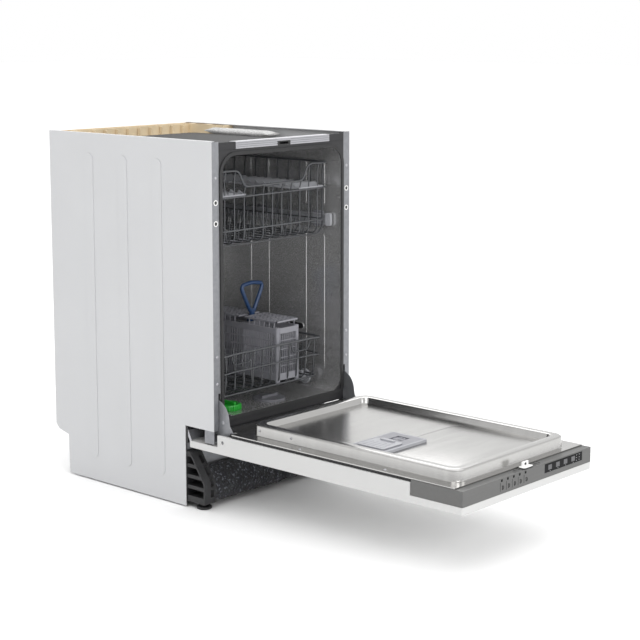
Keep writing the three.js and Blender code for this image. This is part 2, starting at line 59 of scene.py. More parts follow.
def node_box(name):
    """A CAD node's corners in the millimetres used here."""
    lo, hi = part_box(name)
    return [(lo[i] * 1000 - (FRONT * 1000 if i == 1 else 0), hi[i] * 1000 - (FRONT * 1000 if i == 1 else 0))
            for i in range(3)]


# ---- camera ---------------------------------------------------------------------------------------
camera = bpy.data.objects.new("camera", bpy.data.cameras.new("camera"))
bpy.context.scene.collection.objects.link(camera)
camera.location = (-2.607, -2.395, 1.070)
yaw, pitch = math.radians(47.94), math.radians(-8.43)
ahead = Vector((math.sin(yaw) * math.cos(pitch), math.cos(yaw) * math.cos(pitch), math.sin(pitch)))
camera.rotation_euler = ahead.to_track_quat("-Z", "Y").to_euler()
camera.data.lens = 91.2
camera.data.shift_y = -0.094
camera.data.clip_end = 100
bpy.context.scene.camera = camera


# ---- materials ------------------------------------------------------------------------------------
def shader(name, rough, metal=0.0, coat=0.0, sheen=0.0, shine=0.5):
    mat = bpy.data.materials.new(name)
    mat.use_nodes = True
    nodes, links = mat.node_tree.nodes, mat.node_tree.links
    bsdf = nodes["Principled BSDF"]
    bsdf.inputs["Roughness"].default_value = rough
    bsdf.inputs["Metallic"].default_value = metal
    bsdf.inputs["Specular IOR Level"].default_value = shine
    bsdf.inputs["Coat Weight"].default_value = coat
    bsdf.inputs["Sheen Weight"].default_value = sheen
    return mat, nodes, links, bsdf


def pattern(nodes, links, scale, stretch=(1, 1, 1), detail=4.0, kind="ShaderNodeTexNoise"):
    coords = nodes.new("ShaderNodeTexCoord")
    mapping = nodes.new("ShaderNodeMapping")
    mapping.inputs["Scale"].default_value = stretch
    links.new(coords.outputs["Object"], mapping.inputs["Vector"])
    texture = nodes.new(kind)
    texture.inputs["Scale"].default_value = scale
    if "Detail" in texture.inputs:
        texture.inputs["Detail"].default_value = detail
    links.new(mapping.outputs["Vector"], texture.inputs["Vector"])
    return texture


def ramp(nodes, links, value, stops):
    node = nodes.new("ShaderNodeValToRGB")
    elements = node.color_ramp.elements
    while len(elements) < len(stops):
        elements.new(0.5)
    for element, (at, colour) in zip(elements, stops):
        element.position = at
        element.color = (*colour, 1)
    links.new(value, node.inputs["Fac"])
    return node.outputs["Color"]


def spread(nodes, links, value, low, high):
    node = nodes.new("ShaderNodeMapRange")
    node.inputs["From Min"].default_value = 0.3
    node.inputs["From Max"].default_value = 0.7
    node.inputs["To Min"].default_value = low
    node.inputs["To Max"].default_value = high
    links.new(value, node.inputs["Value"])
    return node.outputs["Result"]


def finish(name, colour, rough, metal=0.0, vary=0.05, scale=60, stretch=(1, 1, 1), grain=900, bump=0.1,
           depth=0.0002, rough_vary=0.06, coat=0.0, sheen=0.0, shine=0.5, kind="ShaderNodeTexNoise"):
    """A surface with mottled colour, uneven gloss and a fine relief."""
    mat, nodes, links, bsdf = shader(name, rough, metal, coat, sheen, shine)
    tone = pattern(nodes, links, scale, stretch, kind=kind)
    darker = tuple(c * (1 - vary) for c in colour)
    lighter = tuple(min(1.0, c * (1 + vary)) for c in colour)
    out = tone.outputs["Fac"] if "Fac" in tone.outputs else tone.outputs["Distance"]
    links.new(ramp(nodes, links, out, [(0.3, darker), (0.7, lighter)]), bsdf.inputs["Base Color"])
    fine = pattern(nodes, links, grain, stretch, detail=3.0)
    links.new(spread(nodes, links, fine.outputs["Fac"], rough - rough_vary, rough + rough_vary),
              bsdf.inputs["Roughness"])
    relief = nodes.new("ShaderNodeBump")
    relief.inputs["Strength"].default_value = bump
    relief.inputs["Distance"].default_value = depth
    links.new(fine.outputs["Fac"], relief.inputs["Height"])
    links.new(relief.outputs["Normal"], bsdf.inputs["Normal"])
    return mat


def felt_finish(name, stops, scale):
    mat, nodes, links, bsdf = shader(name, 0.95, sheen=0.3)
    speck = pattern(nodes, links, scale, detail=8.0)
    links.new(ramp(nodes, links, speck.outputs["Fac"], stops), bsdf.inputs["Base Color"])
    relief = nodes.new("ShaderNodeBump")
    relief.inputs["Strength"].default_value = 0.9
    relief.inputs["Distance"].default_value = 0.003
    links.new(speck.outputs["Fac"], relief.inputs["Height"])
    links.new(relief.outputs["Normal"], bsdf.inputs["Normal"])
    return mat


ENAMEL = finish("white_enamel", (0.515, 0.52, 0.53), 0.42, vary=0.012, scale=6, grain=700, bump=0.05,
                coat=0.15)
DOOR_WHITE = finish("white_door_skin", (0.54, 0.54, 0.535), 0.45, vary=0.012, scale=8, grain=500, bump=0.05)
GALVANISED = finish("galvanised_sheet", (0.25, 0.255, 0.27), 0.42, 0.6, vary=0.09, scale=90, grain=260,
                    bump=0.05)
STAINLESS = finish("brushed_stainless", (0.60, 0.60, 0.60), 0.25, 0.75, vary=0.05, scale=9,
                   stretch=(1, 1, 14), grain=420, bump=0.06, rough_vary=0.05)
PAN_STEEL = finish("door_stainless", (0.50, 0.495, 0.485), 0.20, 1.0, vary=0.04, scale=7, stretch=(1, 14, 1),
                   grain=420, bump=0.05, rough_vary=0.05)
FASCIA = finish("satin_fascia", (0.135, 0.135, 0.133), 0.36, 0.7, vary=0.03, scale=12,
                stretch=(1, 8, 14), grain=380, bump=0.05)
SILVER = finish("silver_bar", (0.44, 0.44, 0.465), 0.34, 0.7, vary=0.03, scale=12, stretch=(1, 14, 14),
                grain=300, bump=0.05)
WIRE = finish("grey_coated_wire", (0.055, 0.058, 0.064), 0.34, vary=0.12, scale=40, grain=900, bump=0.08,
              coat=0.2)
GREY = finish("grey_moulding", (0.225, 0.225, 0.25), 0.42, vary=0.05, scale=30, grain=1300, bump=0.12)
LIGHT = finish("light_grey_moulding", (0.37, 0.375, 0.40), 0.40, vary=0.05, scale=30, grain=1300, bump=0.12)
WHITE = finish("white_moulding", (0.80, 0.80, 0.79), 0.40, vary=0.03, scale=30, grain=1200, bump=0.10)
BLACK = finish("black_moulding", (0.014, 0.014, 0.015), 0.45, vary=0.2, scale=35, grain=900, bump=0.2)
FRAME_GREY = finish("dark_frame", (0.024, 0.024, 0.026), 0.5, 0.2, vary=0.08, scale=20, grain=600, bump=0.1)
GLOSS = finish("display_glass", (0.006, 0.006, 0.007), 0.42, vary=0.15, scale=20, grain=300, bump=0.01,
               rough_vary=0.02, shine=0.1)
KEY = finish("dim_key", (0.13, 0.13, 0.135), 0.5, shine=0.15, vary=0.05, scale=60, grain=900)
RUBBER = finish("rubber_seal", (0.017, 0.017, 0.018), 0.62, vary=0.15, scale=60, grain=900, bump=0.25)
BEIGE = finish("beige_moulding", (0.70, 0.57, 0.38), 0.55, vary=0.08, scale=22, grain=900, bump=0.15)
GREEN = finish("green_moulding", (0.02, 0.42, 0.035), 0.36, vary=0.08, scale=40, grain=1000, coat=0.2)
BLUE = finish("blue_moulding", (0.014, 0.045, 0.125), 0.34, vary=0.08, scale=40, grain=1000, coat=0.2)
BITUMEN = finish("bitumen_mat", (0.014, 0.014, 0.015), 0.7, vary=0.3, scale=120, grain=260, bump=0.6,
                 depth=0.001)
PRINT = finish("dark_print", (0.008, 0.008, 0.008), 0.6, shine=0.1, vary=0.1, scale=60, grain=900)
LAMP = finish("pale_lamp", (0.75, 0.76, 0.78), 0.3, vary=0.03, scale=60, grain=900)
WOOL = felt_finish("white_felt", [(0.3, (0.42, 0.42, 0.42)), (0.7, (0.68, 0.68, 0.67))], 220)
FELT = felt_finish("speckled_felt", [(0.36, (0.003, 0.003, 0.004)), (0.52, (0.009, 0.010, 0.014)),
                                     (0.60, (0.030, 0.032, 0.042)), (0.67, (0.19, 0.20, 0.23)),
                                     (0.72, (0.010, 0.010, 0.013))], 170)

BY_SLOT = {
    "white_steel": ENAMEL, "white_door_board": DOOR_WHITE, "galvanised_steel": GALVANISED,
    "stainless_steel": STAINLESS, "silver_metal": SILVER, "coated_wire": WIRE, "black_plastic": BLACK,
    "black_gloss": GLOSS, "rubber": RUBBER, "grey_plastic": GREY, "light_plastic": LIGHT,
    "white_plastic": WHITE, "beige_plastic": BEIGE, "green_plastic": GREEN,
    "blue_plastic": BLUE, "felt": FELT,
}
for part in frame["record"]["subparts"]:
    node = NODES[part["node"]]
    node.data.materials.clear()
    node.data.materials.append(BY_SLOT[part["material_slot"]])
NODES["control_panel"].data.materials[0] = FASCIA
for i in range(1, 5):
    NODES[f"button_{i}"].data.materials[0] = KEY

# Rounded edges on the carried-over CAD pieces, as wide as each one's sheet allows.
EDGES = {
    "side_panel_left": 0.5, "side_panel_right": 0.5, "front_post_left": 0.4, "front_post_right": 0.4,
    "rear_brace": 0.8, "tub_gasket": 1.0, "front_crossbar": 0.5, "door_lock": 0.5, "base_tray": 1.5,
    "base_front_sheet": 0.4, "water_softener": 3.0, "lower_spray_arm": 2.2, "upper_spray_arm": 2.2,
    "door_outer_panel": 1.0, "control_panel": 0.6, "display_window": 0.2, "dispenser_body": 1.5,
    "dispenser_lid": 0.8, "filter_cup": 0.8, "circulation_pump": 2.0, "drain_pump": 2.0, "sump": 1.5,
    "upper_rail_left": 0.5, "upper_rail_right": 0.5, "spray_feed_pipe": 2.0, "back_panel": 0.4, "tub": 0.5,
    "button_1": 0.7, "button_2": 0.7, "button_3": 0.7, "button_4": 0.7,
}
for name, width in EDGES.items():
    rounding = NODES[name].modifiers.new("edge", "BEVEL")
    rounding.width = width / 1000
    rounding.segments = 2
    rounding.limit_method = "ANGLE"
    rounding.angle_limit = math.radians(40)


# ---- building in mesh code ------------------------------------------------------------------------
def round_rect(x0, x1, y0, y1, r, steps=7):
    """Points round a rectangle with rounded corners, counter-clockwise."""
    points = []
    corners = ((x1 - r, y0 + r, -90), (x1 - r, y1 - r, 0), (x0 + r, y1 - r, 90), (x0 + r, y0 + r, 180))
    for cx, cy, start in corners:
        for i in range(steps + 1):
            a = math.radians(start + 90 * i / steps)
            points.append((cx + r * math.cos(a), cy + r * math.sin(a)))
    return points


def soften(points, radius, closed=False, steps=4):
    """Rounds the corners of a path of 3D points."""
    points = [Vector(p) for p in points]
    count, out = len(points), []
    for i, corner in enumerate(points):
        if not closed and i in (0, count - 1):
            out.append(corner)
            continue
        before, after = points[i - 1] - corner, points[(i + 1) % count] - corner
        reach = min(radius, before.length * 0.49, after.length * 0.49)
        a, b = corner + before.normalized() * reach, corner + after.normalized() * reach
        for k in range(steps + 1):
            t = k / steps
            out.append(a * (1 - t) ** 2 + corner * (2 * t * (1 - t)) + b * t ** 2)
    return out


class Form:
    """Collects solids, in millimetres, into one mesh piece."""

    def __init__(self):
        self.points, self.faces = [], []

    def add(self, points, faces):
        k = len(self.points)
        self.points += [tuple(p) for p in points]
        self.faces += [[i + k for i in f] for f in faces]
        return self

    def rings(self, rings, close=(True, True), round_path=False):
        n = len(rings[0])
        points = [p for ring in rings for p in ring]
        faces = []
        for r in range(len(rings) - (0 if round_path else 1)):
            a, b = r * n, ((r + 1) % len(rings)) * n
            faces += [[a + i, a + (i + 1) % n, b + (i + 1) % n, b + i] for i in range(n)]
        if not round_path:
            if close[0]:
                faces.append(list(reversed(range(n))))
            if close[1]:
                faces.append(list(range((len(rings) - 1) * n, len(rings) * n)))
        return self.add(points, faces)

    def box(self, x0, x1, y0, y1, z0, z1):
        return self.prism([(x0, y0), (x1, y0), (x1, y1), (x0, y1)], "z", z0, z1)

    def prism(self, outline, axis, a, b):
        """An outline in the other two axes (x, y / x, z / y, z order), from a to b along the axis."""
        def at(u, v, w):
            return {"x": (w, u, v), "y": (u, w, v), "z": (u, v, w)}[axis]
        return self.rings([[at(u, v, a) for u, v in outline], [at(u, v, b) for u, v in outline]])

    def beam(self, start, end, width, height):
        """A bar between two points, its height along Z or as near as can be."""
        start, end = Vector(start), Vector(end)
        along = (end - start).normalized()
        side = along.cross(Vector((0, 0, 1)))
        side = Vector((1, 0, 0)) if side.length < 1e-4 else side.normalized()
        up = side.cross(along)
        corners = [(-1, -1), (1, -1), (1, 1), (-1, 1)]
        ring = [side * (width / 2 * u) + up * (height / 2 * v) for u, v in corners]
        return self.rings([[start + c for c in ring], [end + c for c in ring]])

    def tube(self, path, r, sides=7, closed=False):
        path = [Vector(p) for p in path]
        count = len(path)
        rings, normal = [], None
        for i, p in enumerate(path):
            if closed:
                along = (path[(i + 1) % count] - path[i - 1]).normalized()
            else:
                along = (path[min(i + 1, count - 1)] - path[max(i - 1, 0)]).normalized()
            if normal is None:
                normal = along.cross(Vector((0.31, 0.17, 0.93))).normalized()
            normal = (normal - along * normal.dot(along)).normalized()
            other = along.cross(normal)
            angles = [2 * math.pi * k / sides for k in range(sides)]
            rings.append([p + (normal * math.cos(a) + other * math.sin(a)) * r for a in angles])
        return self.rings(rings, round_path=closed)

    def turned(self, profile, axis, centre, sides=28):
        """A profile of (radius, height), from axis to axis, turned about an axis through centre."""
        rings = []
        for radius, h in profile:
            ring = []
            for k in range(sides):
                a = 2 * math.pi * k / sides
                u, v = max(radius, 0.01) * math.cos(a), max(radius, 0.01) * math.sin(a)
                offset = {"x": (h, u, v), "y": (u, h, v), "z": (u, v, h)}[axis]
                ring.append(tuple(c + o for c, o in zip(centre, offset)))
            rings.append(ring)
        return self.rings(rings)

    def piece(self, name, material, body, slot, replaces=(), bevel=0.0, angle=38, segments=2):
        mesh = bpy.data.meshes.new(name)
        mesh.from_pydata([place(*p) for p in self.points], [], self.faces)
        work = bmesh.new()
        work.from_mesh(mesh)
        bmesh.ops.recalc_face_normals(work, faces=work.faces)
        work.to_mesh(mesh)
        work.free()
        mesh.shade_smooth()
        mesh.set_sharp_from_angle(angle=math.radians(angle))
        mesh.materials.append(material)
        obj = bpy.data.objects.new(name, mesh)
        bpy.context.scene.collection.objects.link(obj)
        if bevel:
            rounding = obj.modifiers.new("edge", "BEVEL")
            rounding.width = bevel / 1000
            rounding.segments = segments
            rounding.limit_method = "ANGLE"
            rounding.angle_limit = math.radians(angle)
        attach(obj, body)
        if replaces:
            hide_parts(*replaces)
        return obj


def spaced(a, b, count):
    return [a + (b - a) * i / (count - 1) for i in range(count)]


SIDES = (("left", -1), ("right", 1))


def screw_head(form, axis, centre, r=3.6, sign=-1):
    """A domed screw head along an axis; sign gives the way, and the share of 2 mm that it stands."""
    profile = [(0, 0), (r, 0), (r, 0.8 * sign), (r * 0.75, 1.7 * sign), (0.9, 2.0 * sign), (0.8, 1.3 * sign),
               (0, 1.2 * sign)]
    return form.turned(profile, axis, centre, 16)


# ---- door -----------------------------------------------------------------------------------------
def door_pieces():
    pan = Form()
    # the pressed pan: from its flange up round the bulge, over the rim and down into the dish
    profile = [
        (190.0, 188.0, 28), (188.6, 188.6, 27), (188.0, 190.0, 26), (187.6, 206.5, 26), (186.8, 209.8, 25),
        (184.6, 211.6, 24), (181.5, 212.0, 23), (170.0, 212.0, 17), (167.6, 211.4, 16), (166.2, 209.6, 15),
        (164.0, 201.0, 14), (162.6, 198.9, 13), (160.0, 198.2, 12), (150.0, 198.0, 10),
    ]
    rings = []
    for half, z, r in profile:
        inset = 188 - half
        rings.append([(x, y, z) for x, y in round_rect(-half, half, -634 + inset, -76 - inset, r)])
    pan.rings(rings, close=(False, True))
    flange = [(-219, -652), (219, -652), (219, -50), (200, -50), (200, -6), (-200, -6), (-200, -50),
              (-219, -50)]
    pan.prism(flange, "z", 186.05, 188)
    # the shallow step that crosses the dish
    pan.rings([[(x, y, z) for x, y in round_rect(-w, w, -600 + d, -380 - d, 30)]
               for w, z, d in ((142, 198.0, 0), (140, 199.2, 2), (136, 199.6, 5))], close=(False, True))
    pan.piece("door_pan", PAN_STEEL, "door", "stainless_steel", ["door_inner_pan"], angle=30)

    fin = [(-56, 186.2), (-42, 187.9), (-33, 200), (-31, 210), (-30, 218), (-28, 226), (-24, 234), (-19, 241),
           (-13, 246), (-7, 250), (0, 253), (8, 255.5), (16, 257), (16, 176), (-28, 176), (-36, 186.2)]
    for side, sign in SIDES:
        x = sorted((sign * 205.0, sign * 206.5))
        guard = Form().prism(fin, "x", *x)
        guard.piece(f"hinge_guard_{side}", GALVANISED, "door", "galvanised_steel", bevel=0.4)
        face = sign * 206.5
        heads = Form()
        screw_head(heads, "x", (face, -12, 206), 4.2, sign * 0.18)
        screw_head(heads, "x", (sign * 188.0, -104, 200), 2.6, sign)
        screw_head(heads, "x", (sign * 188.0, -196, 200), 2.6, sign)
        heads.piece(f"guard_screws_{side}", SILVER, "door", "silver_metal")

        seam = Form()
        inner, outer = sorted((sign * 214.5, sign * 218.0))
        seam.box(inner, outer, -544, -52, 180.4, 185.8)
        for y in spaced(-540, -56, 62):
            tip = sorted((sign * 218.0, sign * 219.2))
            seam.box(tip[0], tip[1], y - 1.6, y + 1.6, 180.8, 185.4)
        seam.piece(f"door_seam_{side}", BLACK, "door", "black_plastic", bevel=0.3)

    heads = Form()
    for x, y in ((-208, -470), (208, -470), (-208, -240), (208, -240)):
        screw_head(heads, "z", (x, y, 188.0), 3.2, 1)
    heads.piece("pan_screws", SILVER, "door", "silver_metal")

    # the striker's white moulding, with its slot and the slits beside it laid on as black plates of painted
    # shade, and the marks on the control face
    latch = Form()
    latch.prism(round_rect(-16, 16, -669.6, -654.0, 4, 4), "z", 187.6, 188.7)
    latch.box(-10.15, 10.15, -661.14, -657.86, 188.2, 198.12)
    latch.piece("striker_cover", WHITE, "door", "white_plastic", bevel=0.2)
    # black plates of painted shade stand in for the striker's slot and the slits in the flange beside it
    slot_shade_plates = Form()
    slot_shade_plates.prism(round_rect(-3.4, 3.4, 190.4, 196.0, 2.4, 5), "y", -661.22, -661.0)
    for x in (-42, -30, 28, 40):
        slot_shade_plates.beam((x, -668, 188.2), (x + 4, -657, 188.2), 1.6, 0.8)
    slot_shade_plates.piece("striker_slot_painted_shade", BLACK, "door", "black_plastic", bevel=0.15)

    end = node_box("control_panel")[1][0]
    marks = Form()
    for i in range(5):
        x = -95 + 20 * i
        marks.box(x - 2.7, x + 2.7, end - 0.25, end + 0.4, 178.4, 183.2)
        marks.box(x - 5.2, x - 4.5, end - 0.2, end + 0.4, 159.5, 177)
        loop = [(x + u, end, z) for u, z in ((1, 162), (6.5, 163), (6.5, 169), (1, 170), (3, 166))]
        marks.tube(soften(loop, 2, True), 0.6, 6, closed=True)
    marks.piece("programme_marks", PRINT, "door", "black_plastic", bevel=0.1)
    lamps = Form()
    for x in (168, 178):
        for z in (168, 173.5, 179):
            lamps.turned([(0, 0), (0.7, 0), (0.6, -0.35), (0, -0.4)], "y", (x, end, z), 10)
    for x in (72, 100, 128, 156):
        lamps.turned([(0, 0), (0.6, 0), (0.5, -0.3), (0, -0.35)], "y", (x, end, 166.0), 10)
    lamps.piece("display_lamps", LAMP, "door", "light_plastic")

    # dispenser trim: a frame round the body, a latch and the round rinse-aid cap
    trim = Form()
    (bx0, bx1), (by0, by1), (_, top) = node_box("dispenser_body")
    for shape in ((bx0 - 1.5, bx0 + 3, by0, by1), (bx1 - 3, bx1 + 1.5, by0, by1),
                  (bx0, bx1, by0 - 1.5, by0 + 3), (bx0, bx1, by1 - 3, by1 + 1.5)):
        trim.box(*shape, top - 6.5, top + 0.2)
    trim.piece("dispenser_trim", LIGHT, "door", "light_plastic", bevel=0.8)
    cap = Form()
    profile = [(0, -2.8), (13, -2.8), (13, -0.6), (11, -0.2), (10, -1.4), (0, -1.4)]
    cap.turned(profile, "z", (-54, -380, top), 32)
    cap.box(-64, -44, -382, -378, top - 2, top - 0.2)
    cap.piece("rinse_aid_cap", GREY, "door", "grey_plastic", bevel=0.3)
    (lx0, lx1), (ly0, ly1), (_, lid_top) = node_box("dispenser_lid")
    lid = Form()
    lid.prism(round_rect(lx0, lx1, ly0, ly1, 6, 5), "z", top + 0.35, top + 2.6)
    for y in spaced(ly0 + 12, ly1 - 12, 5):
        lid.box(lx0 + 6, lx0 + 40, y - 1.1, y + 1.1, top + 2.4, top + 3.3)
    lid.prism(round_rect(lx1 - 13, lx1 - 4, -399, -363, 3, 4), "z", top + 2.4, lid_top)
    lid.piece("dispenser_slider", LIGHT, "dispenser_lid", "light_plastic", ["dispenser_lid"], bevel=0.5)


# ---- cabinet --------------------------------------------------------------------------------------
def cabinet_pieces():
    # the dark frame round the tub's mouth
    opening = round_rect(-199.0, 199.0, 205, 789, 44, 10)
    outer = [(math.copysign(200.6, x), 187.2 if z < 300 else 795.6) if abs(x) > 150 else
             (x * 1.2, 187.2 if z < 300 else 795.6) for x, z in opening]
    plate = Form()
    plate.rings([[(x, 1.0, z) for x, z in opening], [(x, -0.22, z) for x, z in opening],
                 [(x, -0.22, z) for x, z in outer], [(x, 1.0, z) for x, z in outer]], round_path=True)
    for _, sign in SIDES:
        plate.box(*sorted((sign * 151.0, sign * 200.6)), -0.22, 1.0, 795.0, 811.4)
    plate.piece("tub_front_frame", FRAME_GREY, "cabinet", "black_plastic", angle=30)

    # the seal's hollow lip
    lip = Form()
    loop = [(x, -0.9, z) for x, z in round_rect(-196.2, 196.2, 207.8, 786.2, 42, 10)]
    lip.tube(loop, 1.6, 8, closed=True)
    lip.piece("seal_lip", RUBBER, "cabinet", "rubber")

    # the crossbar's grooves are not cut: thin darker strips laid on its face are painted shade
    groove_shade_strips = Form()
    for z in (799.5, 803.8, 808.0):
        for x0, x1 in ((-148, -22), (22, 148)):
            groove_shade_strips.box(x0, x1, -2.25, -1.8, z - 0.5, z + 0.5)
    groove_shade_strips.piece("crossbar_groove_painted_shade", GALVANISED, "cabinet", "galvanised_steel")

    heads = Form()
    for _, sign in SIDES:
        for z in (737, 349, 290):
            screw_head(heads, "y", (sign * 211, 0, z), 3.4)
    heads.piece("post_screws", SILVER, "cabinet", "silver_metal")
    cups = Form()
    # the black discs in the sockets are painted shade standing in for the depth of their holes
    hole_shade_discs = Form()
    cup = [(0, 0.3), (6.2, 0.3), (6.2, -0.7), (5.4, -1.1), (4.2, -0.9), (3.9, 0.2), (0, 0.2)]
    for _, sign in SIDES:
        for z in (684, 639):
            cups.turned(cup, "y", (sign * 211, 0, z), 20)
            hole_shade_discs.turned([(0, 0.2), (3.9, 0.2), (3.8, -0.25), (0, -0.25)], "y", (sign * 211, 0, z), 20)
    cups.piece("post_sockets", WHITE, "cabinet", "white_plastic")
    hole_shade_discs.piece("post_socket_hole_painted_shade", BLACK, "cabinet", "black_plastic")

    # ribs and scoops pressed in the tub's walls; the scoops' hollows are black plates of painted shade
    walls = Form()
    for _, sign in SIDES:
        face = sorted((sign * 194.2, sign * 192.9))
        for y in (60, 118, 240, 300, 430, 486):
            walls.prism(round_rect(y - 9, y + 9, 250, 575, 8.9, 6), "x", *face)
            walls.prism(round_rect(y - 9, y + 9, 640, 745, 8.9, 6), "x", *face)
    for x in (-150, -90, -30, 30, 90, 150):
        walls.prism(round_rect(x - 11, x + 11, 260, 750, 10.9, 6), "y", 520.6, 522.2)
    walls.piece("tub_wall_ribs", STAINLESS, "cabinet", "stainless_steel", bevel=0.6)
    # black plates of painted shade in each scoop's hollow, where the wall is really stainless steel
    scoop_shade_plates = Form()
    hoods = Form()
    for _, sign in SIDES:
        for y in (158, 318):
            face = sorted((sign * 193.95, sign * 192.6))
            scoop_shade_plates.prism(round_rect(y - 38, y + 38, 340, 352, 5.9, 6), "x", *face)
            loop = [(sign * 192.6, a, b) for a, b in round_rect(y - 40, y + 40, 338, 354, 7.9, 6)]
            hoods.tube(loop, 1.3, 6, closed=True)
    scoop_shade_plates.piece("tub_scoop_painted_shade", BLACK, "cabinet", "stainless_steel", bevel=0.3)
    hoods.piece("tub_scoop_rims", STAINLESS, "cabinet", "stainless_steel")

    # rail carriers on the tub's walls
    carriers = Form()
    for _, sign in SIDES:
        face = sorted((sign * 191.4, sign * 193.8))
        for y in (70, 250, 400):
            carriers.prism(round_rect(y - 16, y + 16, 592, 628, 5, 5), "x", *face)
    carriers.piece("rail_carriers", GREY, "cabinet", "grey_plastic", bevel=0.4)

    # what lies on top of the tub
    top = node_box("rear_brace")[2][0]
    mat = Form()
    edge = round_rect(-168, 168, 26, 470, 16)
    mat.rings([[(x, y, top + 0.2) for x, y in edge], [(x, y, top + 2.8) for x, y in edge],
               [(x * 0.993, 4 + y * 0.985, top + 3.6) for x, y in edge]])
    mat.piece("bitumen_mat", BITUMEN, "cabinet", "rubber", angle=50)
    strip = Form()
    rings = []
    for y in spaced(212, 430, 26):
        lift = 1.6 * noise.noise(Vector((y * 0.02, 1.3, 0)))
        wide = 21 + 4.0 * noise.noise(Vector((y * 0.03, 7.1, 0)))
        ends = min(1.0, (y - 206) / 26, (438 - y) / 26)
        ring = [(191 + wide * math.cos(a), y, top + 9.5 + lift + 8.2 * ends * math.sin(a))
                for a in [2 * math.pi * k / 14 for k in range(14)]]
        rings.append(ring)
    strip.rings(rings)
    strip.piece("felt_strip", WOOL, "cabinet", "felt", angle=70)
    tray = Form()
    tray.box(-216, -160, 20, 200, 806, 807.4).box(-161.4, -160, 20, 200, 800, 807)
    for y in spaced(34, 186, 9):
        tray.beam((-208, y, 807.6), (-170, y, 807.6), 5, 0.8)
    tray.piece("corner_sheet_left", GALVANISED, "cabinet", "galvanised_steel", bevel=0.3)
    ribs = Form()
    (_, _), (_, by1), (bz0, bz1) = node_box("rear_brace")
    for x in spaced(-196, 196, 12):
        ribs.box(x - 1.3, x + 1.3, by1 - 46, by1 - 36, bz0 + 2, bz1 - 3)
    ribs.piece("brace_ribs", BEIGE, "cabinet", "beige_plastic", bevel=0.4)
    clip = Form()
    clip.box(158, 196, 10, 62, top + 0.3, top + 6).box(168, 190, 14, 30, top + 5, top + 17)
    clip.beam((160, 58, top + 6), (186, 26, top + 15), 4, 3)
    clip.piece("corner_bracket_right", BLACK, "cabinet", "black_plastic", bevel=0.8)

    # base: strap beside the leg, sheet creases, feet
    strap = Form()
    strap.beam((-219, 74, 150), (-219, 90, 182), 3, 6)
    strap.beam((219, 74, 150), (219, 90, 182), 3, 6)
    strap.piece("spring_straps", SILVER, "cabinet", "galvanised_steel", bevel=0.4)
    liner = Form()
    for _, sign in SIDES:
        liner.prism(round_rect(84, 90.6, 146, 185, 2.5, 4), "x", *sorted((sign * 217.0, sign * 221.4)))
    liner.piece("spring_slot_liners", BLACK, "cabinet", "black_plastic", bevel=0.3)
    blades = Form()
    edge = [(33.6, 14.5), (33.6, 60.2), (79.6, 127.2), (84.0, 127.2), (38.0, 58.5), (38.0, 14.5)]
    for _, sign in SIDES:
        for near, far in ((200.0, 219.6), (185.5, 188.5)):
            blades.prism(edge, "x", *sorted((sign * near, sign * far)))
    blades.piece("leg_blades", FRAME_GREY, "cabinet", "black_plastic", bevel=0.6)
    for name in ("foot_front_left", "foot_front_right", "foot_rear"):
        (x0, x1), (y0, y1), _ = node_box(name)
        centre = ((x0 + x1) / 2, (y0 + y1) / 2, 0)
        foot = Form()
        profile = [(0, 0), (15.5, 0), (17, 1.4), (17, 5.2), (15.6, 6.4), (9, 7.6), (9, 10.4), (6, 10.8),
                   (6, 13.7), (0, 13.7)]
        foot.turned(profile, "z", centre, 30)
        for k in range(12):
            a = 2 * math.pi * k / 12
            foot.beam((centre[0] + 9 * math.cos(a), centre[1] + 9 * math.sin(a), 7.6),
                      (centre[0] + 16 * math.cos(a), centre[1] + 16 * math.sin(a), 6.0), 1.6, 1.8)
        foot.piece(f"{name}_turned", BLACK, "cabinet", "black_plastic", [name], bevel=0.3)

    # spigots and the cable gland at the back, where the hoses and the lead go in
    ends = Form()
    for x, r in ((-150, 10), (-110, 13)):
        profile = [(0, -4), (r + 6, -4), (r + 6, 2), (r, 3), (r, 18), (r + 1.2, 19), (r + 1.2, 23),
                   (r - 2, 24), (r - 3, 10), (0, 9)]
        ends.turned(profile, "y", (x, 492, 72), 28)
    ends.piece("hose_spigots", LIGHT, "cabinet", "light_plastic", bevel=0.3)
    gland = Form()
    profile = [(0, -4), (15, -4), (15, 3), (11, 4), (11, 13), (8, 16), (4.5, 16), (4, 4), (0, 4)]
    gland.turned(profile, "y", (140, 492, 78), 24)
    for k in range(10):
        a = 2 * math.pi * k / 10
        gland.beam((140 + 12 * math.cos(a), 496, 78 + 12 * math.sin(a)),
                   (140 + 11.4 * math.cos(a), 505, 78 + 11.4 * math.sin(a)), 2, 2)
    gland.piece("cable_gland", BLACK, "cabinet", "black_plastic", bevel=0.3)
    creases = Form()
    for z in (240, 400, 560, 700):
        creases.prism(round_rect(-190, 190, z - 7, z + 7, 6.9, 6), "y", 539.2, 540.9)
    creases.piece("back_panel_ribs", GALVANISED, "cabinet", "galvanised_steel", bevel=0.5)

    # salt cap: a ribbed skirt, a dished top and a wing
    (x0, x1), (y0, y1), (z0, z1) = node_box("salt_cap")
    cx, cy = (x0 + x1) / 2, (y0 + y1) / 2
    cap = Form()
    profile = [(0, 0.5), (28, 0.5), (28.6, 2), (28.6, 11), (27, 14.2), (24, 14.6), (22.5, 12.6), (0, 12.2)]
    cap.turned(profile, "z", (cx, cy, z0), 40)
    for k in range(30):
        a = 2 * math.pi * k / 30
        cap.beam((cx + 28.9 * math.cos(a), cy + 28.9 * math.sin(a), z0 + 1),
                 (cx + 28.9 * math.cos(a), cy + 28.9 * math.sin(a), z0 + 12.6), 2.6, 2.2)
    cap.box(cx - 3.4, cx + 3.4, cy - 22, cy + 22, z0 + 12, z1)
    cap.piece("salt_cap_ribbed", GREEN, "salt_cap", "green_plastic", ["salt_cap"], bevel=0.6)


